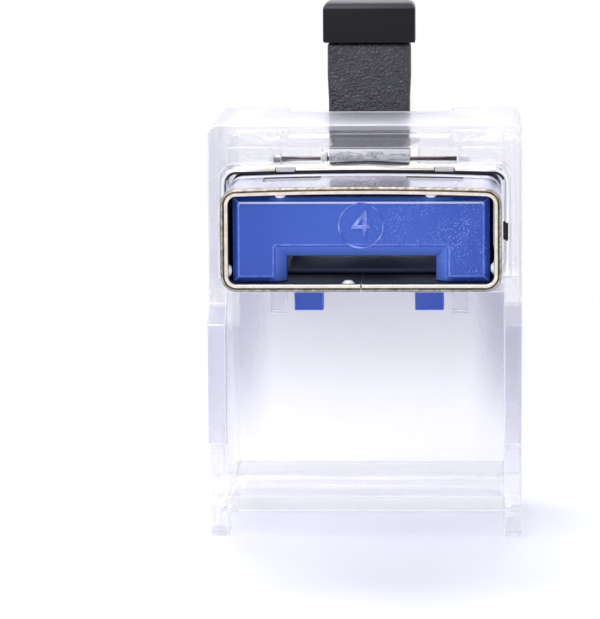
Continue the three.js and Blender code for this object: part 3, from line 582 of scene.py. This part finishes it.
strip = bmesh.new()
loops = []
for inset, back in profile:
    seam = SEAM if back < SEAM_MOUTH else TIGHT_SEAM
    points = [Vector((x, shell_front + back, z)) for x, z in shell_section(inset, seam)]
    pressed = inset > SHEET / 2
    loops.append([strip.verts.new(point + press(point) if pressed else point) for point in points])
top_middle = len(loops[0]) // 2
windows = [
    (top_middle - WINDOW_OUTER_STEP, top_middle - WINDOW_INNER_STEP),
    (top_middle + WINDOW_INNER_STEP, top_middle + WINDOW_OUTER_STEP),
]
window_cells = (far_row, len(loops) - 1 - near_row)
for number, loop in enumerate(loops):
    after = loops[(number + 1) % len(loops)]
    for step in range(len(loop) - 1):
        if number in window_cells and any(left <= step < right for left, right in windows):
            continue
        face = strip.faces.new((loop[step], loop[step + 1], after[step + 1], after[step]))
        # Faces pressed into a dimple get the painted glint.
        highlight_painted = finish[number] == INSIDE and press(face.calc_center_median()).length > 0
        face.material_index = SATIN_AND_GLINT if highlight_painted else finish[number]
# The windows' own walls, with a dark line of painted shade along their upper edge.
for left, right in windows:
    around = [(far_row, step) for step in range(left, right + 1)]
    around += [(near_row, step) for step in range(right, left - 1, -1)]
    upper = [loops[row][step] for row, step in around]
    lower = [loops[len(loops) - 1 - row][step] for row, step in around]
    between = [strip.verts.new(vertex.co - Vector((0, 0, WINDOW_SHADE_LINE))) for vertex in upper]
    for step in range(len(around)):
        after = (step + 1) % len(around)
        shade_line_face = strip.faces.new((upper[step], upper[after], between[after], between[step]))
        shade_line_face.material_index = SHADE_LINE
        wall_face = strip.faces.new((between[step], between[after], lower[after], lower[step]))
        wall_face.material_index = SATIN_AND_GLINT
for end in ([loop[0] for loop in loops], [loop[-1] for loop in reversed(loops)]):
    strip.faces.new(end).material_index = SATIN_AND_GLINT
bmesh.ops.recalc_face_normals(strip, faces=strip.faces)
if strip.calc_volume(signed=True) < 0:
    bmesh.ops.reverse_faces(strip, faces=strip.faces)
mesh = bpy.data.meshes.new("entry_shell")
strip.to_mesh(mesh)
strip.free()
for plate in SHELL_MATERIALS:
    mesh.materials.append(plate)
mesh.shade_smooth()
mesh.set_sharp_from_angle(angle=SHELL_SHARP_ANGLE)
entry_shell = bpy.data.objects.new("entry_shell", mesh)
scene.collection.objects.link(entry_shell)
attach(entry_shell, "frame")
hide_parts("contact_shell")

# The collar
# A saddle of the same plated sheet, folded over the shell's top and sides where it enters the front wall,
# with a slot in each side and two notches in its front edge. Its sides are painted white as a highlight,
# and its top is warmer and so smooth that it mirrors the lever.
COLLAR_FLANKS = (4.2, 5.2)

saddle, tree = start_material("nickel plate, satin, painted highlight on its sides")
place = own_place(tree)
flanks = ramp(tree, from_middle(tree, axes(tree, place)["X"]), *COLLAR_FLANKS)
marks = noise(tree, place, per_mm=3.0, detail=3.0)
warm = blend(tree, marks, colour("#e2dacb"), colour("#f6efe2"))
principled(tree, {
    "Base Color": blend(tree, flanks, warm, colour("#f7f7fb")),
    "Metallic": 1.0,
    "Roughness": 0.07,
})
finished("collar", "entry_collar", "frame", saddle, bevel=0.03)
collar_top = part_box("collar")[1][2]

# The frame's two nibs in the collar's notches, which keep it from sliding.
NIB_WIDTH = 0.84 * MM
NIB_OUT = 3.5 * MM
NIB_FRONT = -4.39 * MM
NIB_BACK = -3.86 * MM
NIB_HEIGHT = 0.2 * MM
NIB_BELOW_COLLAR = 0.02 * MM


def start_tree(name, lengths=(), vectors=()):
    """An empty geometry tree with named inputs, and the sockets that give them."""
    tree = bpy.data.node_groups.new(name, "GeometryNodeTree")
    tree.interface.new_socket("Geometry", in_out="OUTPUT", socket_type="NodeSocketGeometry")
    for kind, names in (("NodeSocketFloat", lengths), ("NodeSocketVector", vectors)):
        for socket in names:
            tree.interface.new_socket(socket, in_out="INPUT", socket_type=kind)
    return tree, add_node(tree, "NodeGroupInput").outputs


def end_tree(tree, geometry, material):
    real = add_node(tree, "GeometryNodeRealizeInstances", {"Geometry": geometry})
    coated = add_node(tree, "GeometryNodeSetMaterial", {"Geometry": real.outputs[0], "Material": material})
    add_node(tree, "NodeGroupOutput", {"Geometry": coated.outputs[0]})


def pair_tree(name, kind, shape, material):
    """A tree that sets one shape on two points: the first, and the one a step on."""
    tree, given = start_tree(name, vectors=("First", "Step", "Size"))
    points = add_node(tree, "GeometryNodeMeshLine", {
        "Count": 2, "Start Location": given["First"], "Offset": given["Step"],
    })
    one = add_node(tree, kind, shape)
    both = add_node(tree, "GeometryNodeInstanceOnPoints", {
        "Points": points.outputs[0], "Instance": one.outputs[0], "Scale": given["Size"],
    })
    end_tree(tree, both.outputs[0], material)
    return tree


def grown(name, tree, sizes, body, bevel=0, steps=3):
    """A piece made by a geometry tree with its inputs set, as a plain mesh that rides on its body."""
    piece = bpy.data.objects.new(name, bpy.data.meshes.new(name))
    scene.collection.objects.link(piece)
    growth = piece.modifiers.new("growth", "NODES")
    growth.node_group = tree
    for socket in tree.interface.items_tree:
        if socket.in_out == "INPUT":
            growth[socket.identifier] = sizes[socket.name]
    if bevel:
        ease = piece.modifiers.new("eased edges", "BEVEL")
        ease.width = bevel * MM
        ease.segments = steps
        ease.limit_method = "ANGLE"
        ease.use_clamp_overlap = False
    bake(piece)
    # The tree's own shapes bring an empty slot before the one that holds the material.
    coat = piece.data.materials[-1]
    piece.data.materials.clear()
    piece.data.materials.append(coat)
    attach(piece, body)


# The nibs are drawn in the clear edges' painted highlight, for the glints in the collar's notches.
grown("collar_nibs", pair_tree("nibs", "GeometryNodeMeshCube", {}, clear_edge), {
    "First": (-NIB_OUT, (NIB_FRONT + NIB_BACK) / 2, collar_top - NIB_BELOW_COLLAR - NIB_HEIGHT / 2),
    "Step": (2 * NIB_OUT, 0, 0),
    "Size": (NIB_WIDTH, NIB_BACK - NIB_FRONT, NIB_HEIGHT),
}, "frame", bevel=0.05)

# A hair-thin bead along the front of the top's notch, drawn in the clear edges' painted highlight: it
# stands for a pale highlight line on that edge.
HIGHLIGHT_BEAD_RADIUS = 0.035 * MM
HIGHLIGHT_BEAD_PLACE = 3.15 * MM
HIGHLIGHT_BEAD_STEPS = 12
NOTCH_HALF_WIDTH = 3.7 * MM
frame_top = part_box("housing")[1][2]
tree, given = start_tree("highlight bead line", lengths=("Radius",), vectors=("Start", "End"))
path = add_node(tree, "GeometryNodeCurvePrimitiveLine", {"Start": given["Start"], "End": given["End"]})
circle = {"Resolution": HIGHLIGHT_BEAD_STEPS, "Radius": given["Radius"]}
section = add_node(tree, "GeometryNodeCurvePrimitiveCircle", circle)
bead = add_node(tree, "GeometryNodeCurveToMesh", {
    "Curve": path.outputs[0], "Profile Curve": section.outputs[0], "Fill Caps": True,
})
end_tree(tree, bead.outputs[0], clear_edge)
grown("notch_highlight_bead", tree, {
    "Radius": HIGHLIGHT_BEAD_RADIUS,
    "Start": (-NOTCH_HALF_WIDTH, HIGHLIGHT_BEAD_PLACE, frame_top),
    "End": (NOTCH_HALF_WIDTH, HIGHLIGHT_BEAD_PLACE, frame_top),
}, "frame")

# The seal and its plugs
# A thin strip of black rubber under the collar's top, and a plug in each of its side slots. Both are
# painted shade: black parts set in the shadowed gap under the collar and in its slots.
rubber, tree = start_material("black moulded rubber, painted shade")
principled(tree, {
    "Base Color": colour("#141416"),
    "Roughness": 0.7,
    "Normal": bump(tree, noise(tree, own_place(tree), per_mm=8.0, detail=2.0), strength=0.2, depth=0.02),
})
finished("seal", "shade_seal_wrap", "frame", rubber, bevel=0)
for side in ("left", "right"):
    finished(f"slot_plug_{side}", f"shade_slot_plug_{side}", "frame", rubber, bevel=0.03)

# The wire guide
# Blue moulded nylon: a front face with the funnel and the wire slot, two cheeks, and a tail
# with two hooks that snap through the frame's floor.
guide_low, guide_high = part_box("wire_guide")
front = guide_low[1] / MM
SLOT_FOOT = (12.1, 12.2)
SLOT_HEAD = (15.0, 14.8)
SLOT_SIDES = (3.4, 3.3)
SLOT_MOUTH = (front + 0.75, front + 1.1)
ENDS = {"start": 2.2, "end": 5.0, "most": 0.55}
FUNNEL_MOUTH = (front + 0.05, front + 0.15)
FUNNEL_THROAT = {"start": front + 0.8, "end": front + 0.7, "most": 0.6}
FUNNEL_SIDES = (4.0, 3.8)
SPECK_CORE, SPECK_EDGE = 0.1, 0.45
SPECKS_FEW, SPECKS_MANY = 0.1, 0.75
CROWD_FROM, CROWD_TO = 0.4, 0.65
SPECKS_FROM_LEFT = (-3.0, 4.5)
SPECKS_BACK = (front + 1.4, front + 1.2)
SLOT_SHADE_TINT = colour("#586790")
NYLON_IOR = 1.53


def slot_inside(tree, out, y, z):
    """The inside of the wire slot, painted dark grey-blue as the shade deep in it."""
    level = times(tree, ramp(tree, z, *SLOT_FOOT), ramp(tree, z, *SLOT_HEAD))
    return times(tree, ramp(tree, y, *SLOT_MOUTH), ramp(tree, out, *SLOT_SIDES), level)


blue, tree = start_material("blue nylon, moulded")
place = own_place(tree)
x, y, z = axes(tree, place)
out = from_middle(tree, x)
tint = two_tone(tree, noise(tree, place, per_mm=0.3, detail=3.0), (0.0, "#284eb2"), (1.0, "#3760c6"))
# The melt met cooler steel towards both ends, where the blue is a little deeper.
tint = blend(tree, ramp(tree, out, **ENDS), tint, colour("#2347ad"))
# The funnel is painted paler, for the light that the paper throws up into it.
mouth, throat = ramp(tree, y, *FUNNEL_MOUTH), ramp(tree, y, **FUNNEL_THROAT)
funnel = times(tree, mouth, throat, ramp(tree, out, *FUNNEL_SIDES))
tint = blend(tree, funnel, tint, colour("#6f93f5"))
# The inside of the slot is painted in shade.
tint = blend(tree, slot_inside(tree, out, y, z), tint, SLOT_SHADE_TINT)
# Bleached specks of filler, most of them towards the right end. The real ones are finer than
# the tenth of a millimetre at which they are drawn.
specks = add_node(tree, "ShaderNodeTexVoronoi", {"Vector": place, "Scale": 10.0 / MM})
small = span(tree, specks.outputs["Distance"], 1.0, 0.0, SPECK_CORE, SPECK_EDGE)
crowd = noise(tree, place, per_mm=1.1, detail=2.0)
crowd = span(tree, crowd, SPECKS_FEW, SPECKS_MANY, CROWD_FROM, CROWD_TO)
right = times(tree, ramp(tree, x, *SPECKS_FROM_LEFT), ramp(tree, y, *SPECKS_BACK))
principled(tree, {
    "Base Color": blend(tree, times(tree, crowd, right, small), tint, colour("#93a8f0")),
    "Roughness": 0.4,
    "IOR": NYLON_IOR,
    "Normal": bump(tree, noise(tree, place, per_mm=9.0, detail=2.0), strength=0.25, depth=0.02),
})

# The same nylon on an edge, painted paler as a highlight. The face's top edge has the brightest painted
# highlight.
TOP_EDGE = {"start": 15.45, "end": 15.52, "most": 0.8}
TOP_EDGE_BACK = (front + 0.2, front + 0.1)
TOP_EDGE_ENDS = (5.3, 5.15)

blue_edge, tree = start_material("blue nylon, edge with painted highlight")
place = own_place(tree)
x, y, z = axes(tree, place)
out = from_middle(tree, x)
tint = two_tone(tree, noise(tree, place, per_mm=2.5, detail=3.0), (0.3, "#4265ce"), (0.7, "#6d88e6"))
top_edge = times(
    tree, ramp(tree, z, **TOP_EDGE), ramp(tree, y, *TOP_EDGE_BACK), ramp(tree, out, *TOP_EDGE_ENDS),
)
tint = blend(tree, top_edge, tint, colour("#dde6ff"))
principled(tree, {
    "Base Color": blend(tree, slot_inside(tree, out, y, z), tint, SLOT_SHADE_TINT),
    "Roughness": 0.3,
    "IOR": NYLON_IOR,
})

finished("wire_guide", "guide_moulding", "frame", blue, bevel=0.05, edge=blue_edge)

# Two crush ribs on the guide's cheeks, half round, which take up the play in the shell.
RIB_BACK = 6 * MM
RIB_HALF_LENGTH = 0.3 * MM
RIB_PROUD = 0.16 * MM
RIB_FOOT = 12.9 * MM
RIB_BELOW_TOP = 0.5 * MM
RIB_STEPS = 24
rib_head = guide_high[2] - RIB_BELOW_TOP
half_round = {"Vertices": RIB_STEPS, "Radius": 1.0, "Depth": 1.0}
grown("guide_crush_ribs", pair_tree("crush ribs", "GeometryNodeMeshCylinder", half_round, blue), {
    "First": (guide_low[0], guide_low[1] + RIB_BACK, (RIB_FOOT + rib_head) / 2),
    "Step": (guide_high[0] - guide_low[0], 0, 0),
    "Size": (RIB_PROUD, RIB_HALF_LENGTH, rib_head - RIB_FOOT),
}, "frame")

# The moulded mark
# A plain raised ring with the number of the mould's cavity, cut into the tool for the guide's
# face. Both stand a few hundredths of a millimetre proud.
RING_RADIUS = 0.95 * MM
RING_FOOT_WIDTH = 0.094 * MM
RING_TOP_WIDTH = 0.04 * MM
RING_PROUD = 0.035 * MM
RING_ROOT = 0.035 * MM
RING_STEPS = 96
MARK_HEIGHT = 14.63 * MM
DIGIT_SIZE = 1.7 * MM
DIGIT_EDGE = 0.01 * MM
DIGIT_WELD = 0.0001 * MM

# The guide's nylon on the mark, with painted highlights here and there.
blue_mark = patchy_material(
    "blue nylon, mark with painted highlights", per_mm=1.8, detail=4.0, low=(0.4, "#3656bd"), high=(0.68, "#9db0f8"),
    sockets={"Roughness": 0.35, "IOR": NYLON_IOR},
)

tree, given = start_tree(
    "mark ring", lengths=("Radius", "Foot width", "Top width", "Height"), vectors=("Middle",),
)
circle = {"Resolution": RING_STEPS, "Radius": given["Radius"]}
path = add_node(tree, "GeometryNodeCurvePrimitiveCircle", circle)
path = add_node(tree, "GeometryNodeSetCurveNormal", {"Curve": path.outputs[0]}, mode="Z_UP")
section = add_node(tree, "GeometryNodeCurvePrimitiveQuadrilateral", {
    "Height": given["Height"],
    "Bottom Width": given["Foot width"],
    "Top Width": given["Top width"],
    "Offset": 0.0,
}, mode="TRAPEZOID")
bead = add_node(tree, "GeometryNodeCurveToMesh", {
    "Curve": path.outputs[0], "Profile Curve": section.outputs[0],
})
upright = add_node(tree, "GeometryNodeTransform", {
    "Geometry": bead.outputs[0],
    "Translation": given["Middle"],
    "Rotation": (math.radians(-90), 0, 0),
})
end_tree(tree, upright.outputs[0], blue_mark)
grown("mark_ring", tree, {
    "Radius": RING_RADIUS,
    "Foot width": RING_FOOT_WIDTH,
    "Top width": RING_TOP_WIDTH,
    "Height": RING_PROUD + RING_ROOT,
    "Middle": (0, guide_low[1] + (RING_ROOT - RING_PROUD) / 2, MARK_HEIGHT),
}, "frame")

digit = bpy.data.curves.new("mark_number", "FONT")
digit.body = "4"
digit.size = DIGIT_SIZE
digit.align_x = "CENTER"
digit.align_y = "CENTER"
digit.extrude = RING_PROUD
digit.bevel_depth = DIGIT_EDGE
writing = bpy.data.objects.new("mark_number_text", digit)
scene.collection.objects.link(writing)
mesh = bpy.data.meshes.new_from_object(writing.evaluated_get(bpy.context.evaluated_depsgraph_get()))
bpy.data.objects.remove(writing)
on_face = Matrix.Translation((0, guide_low[1], MARK_HEIGHT))
mesh.transform(on_face @ Matrix.Rotation(math.radians(90), 4, "X"))
# A text's faces and sides come unjoined, so they are welded.
closed = bmesh.new()
closed.from_mesh(mesh)
bmesh.ops.remove_doubles(closed, verts=closed.verts, dist=DIGIT_WELD)
closed.to_mesh(mesh)
closed.free()
mesh.materials.clear()
mesh.materials.append(blue_mark)
mark_number = bpy.data.objects.new("mark_number", mesh)
scene.collection.objects.link(mark_number)
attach(mark_number, "frame")

# The busbar
# Tinned copper sheet, stamped flat, with one tongue through each spring's cage.
tinned, tree = start_material("tinned copper, stamped")
bloom = noise(tree, own_place(tree), per_mm=0.9, detail=4.0)
principled(tree, {
    "Base Color": colour("#d8d3ca"),
    "Metallic": 1.0,
    "Roughness": span(tree, bloom, 0.25, 0.42),
})
finished("busbar", "busbar_plate", "frame", tinned, bevel=0.04)

# The clamp springs
# Stainless spring strip, bent into a seat leg, a bow, a press leg and a cage with its window.
stainless, tree = start_material("stainless spring strip, bright rolled")
rolled = stretched_noise(tree, per_mm=(6.0, 0.5, 0.5), detail=2.0)
principled(tree, {
    "Base Color": colour("#cfd0d3"),
    "Metallic": 1.0,
    "Roughness": span(tree, rolled, 0.12, 0.26),
})
for side in ("left", "right"):
    leaf, body = f"spring_leaf_{side}", f"spring_{side}"
    finished(f"clamp_spring_{side}", leaf, body, stainless, bevel=0.04)

# The lever
# Glass-filled grey nylon, moulded in a spark-eroded tool, which leaves a pebbled skin. The real
# pebbles are about half as wide as the tenth of a millimetre at which they are drawn.
grey, tree = start_material("grey glass-filled nylon, pebbled")
place = own_place(tree)
pebbles = add_node(tree, "ShaderNodeTexVoronoi", {
    "Vector": place, "Scale": 9.0 / MM, "Randomness": 1.0,
}, feature="SMOOTH_F1")
cloud = noise(tree, place, per_mm=1.5, detail=5.0)
principled(tree, {
    "Base Color": two_tone(tree, cloud, (0.3, "#24252b"), (0.7, "#3c3d46")),
    "Roughness": 0.38,
    "IOR": NYLON_IOR,
    "Normal": bump(tree, pebbles.outputs[0], strength=1.0, depth=0.08),
})
finished("lever", "lever_arm", "lever", grey, bevel=0.16, steps=4)

# The lever's cap
# Smooth dark nylon, pushed over the tongue at the end of the arm. Its rounded end is painted paler, for
# the sky's light on it.
cap_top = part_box("lever_cap")[1][2] / MM
CAP_END_LIGHT = (cap_top - 0.34, cap_top - 0.26)

dark, tree = start_material("dark nylon, smooth moulded, painted light on its end")
place = own_place(tree)
# Painted light on the rounded end.
rubbed_and_painted_light = ramp(tree, axes(tree, place)["Z"], *CAP_END_LIGHT)
principled(tree, {
    "Base Color": blend(tree, rubbed_and_painted_light, colour("#101117"), colour("#45414b")),
    "Roughness": 0.36,
    "Specular IOR Level": 0.22,
    "Normal": bump(tree, noise(tree, place, per_mm=2.5, detail=4.0), strength=0.2, depth=0.02),
})
finished("lever_cap", "cap_moulding", "lever", dark, bevel=0.1, steps=3)

# The axle and its bush
# A ground steel pin in blind holes of the frame's ears, and one white acetal bush. The pin is blackened,
# with a painted highlight: its colour turns to bright steel where it is seen straight on.
STRAIGHT_ON, ASLANT = 0.015, 0.04

blackened, tree = start_material("blackened steel pin, polished")
ground = stretched_noise(tree, per_mm=(0.4, 4.0, 4.0), detail=3.0)
tint = two_tone(tree, ground, (0.35, "#332e31"), (0.7, "#6b656b"))
facing = add_node(tree, "ShaderNodeLayerWeight", {"Blend": 0.5}).outputs["Facing"]
# Painted highlight where the pin is seen straight on.
straight = span(tree, facing, 1.0, 0.0, STRAIGHT_ON, ASLANT)
principled(tree, {
    "Base Color": blend(tree, straight, tint, colour("#f4f3f5")),
    "Metallic": 1.0,
    "Roughness": 0.14,
})
finished("lever_axle", "axle_pin", "frame", blackened, bevel=0.03)

acetal, tree = start_material("white acetal, turned")
principled(tree, {
    "Base Color": colour("#f0f0ee"),
    "Roughness": 0.4,
    "Normal": bump(tree, noise(tree, own_place(tree), per_mm=3.0, detail=2.0), strength=0.1, depth=0.02),
})
finished("lever_bush", "bush_ring", "frame", acetal, bevel=0.03)

# The hub plate
# A thin bright strip of stainless on the front of the lever's hub, crinkled from pressing. Each fold is
# painted as a grey shade line with a white highlight beside it, and the top edge is painted white as a
# highlight. FOLDS holds the levels in the noise of each fold's white and grey.
FOLDS_FROM, FOLDS_TO = 0.38, 0.62
FOLDS = ((0.42, 0.44), (0.49, 0.51), (0.56, 0.58))
strip_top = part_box("hub_plate")[1][2] / MM
STRIP_EDGE = (strip_top - 0.14, strip_top - 0.08)

crinkled, tree = start_material("thin stainless strip, crinkled, painted folds and highlight")
folds = stretched_noise(tree, per_mm=(1.1, 1.1, 3.6), detail=1.0)
tint = add_node(tree, "ShaderNodeValToRGB", {"Fac": folds})
stops = tint.color_ramp.elements
stops[0].position, stops[1].position = FOLDS_FROM, FOLDS_TO
stops[0].color = stops[1].color = colour("#ffffff")
for crest, valley in FOLDS:
    stops.new(valley).color = colour("#b4b4be")
    stops.new(crest).color = colour("#ffffff")
top_edge = ramp(tree, axes(tree, own_place(tree))["Z"], *STRIP_EDGE)
principled(tree, {
    "Base Color": blend(tree, top_edge, tint.outputs[0], colour("#ffffff")),
    "Metallic": 0.15,
    "Roughness": 0.25,
    "Normal": bump(tree, folds, strength=0.5, depth=0.06),
})
finished("hub_plate", "hub_strip", "lever", crinkled, bevel=0.02)
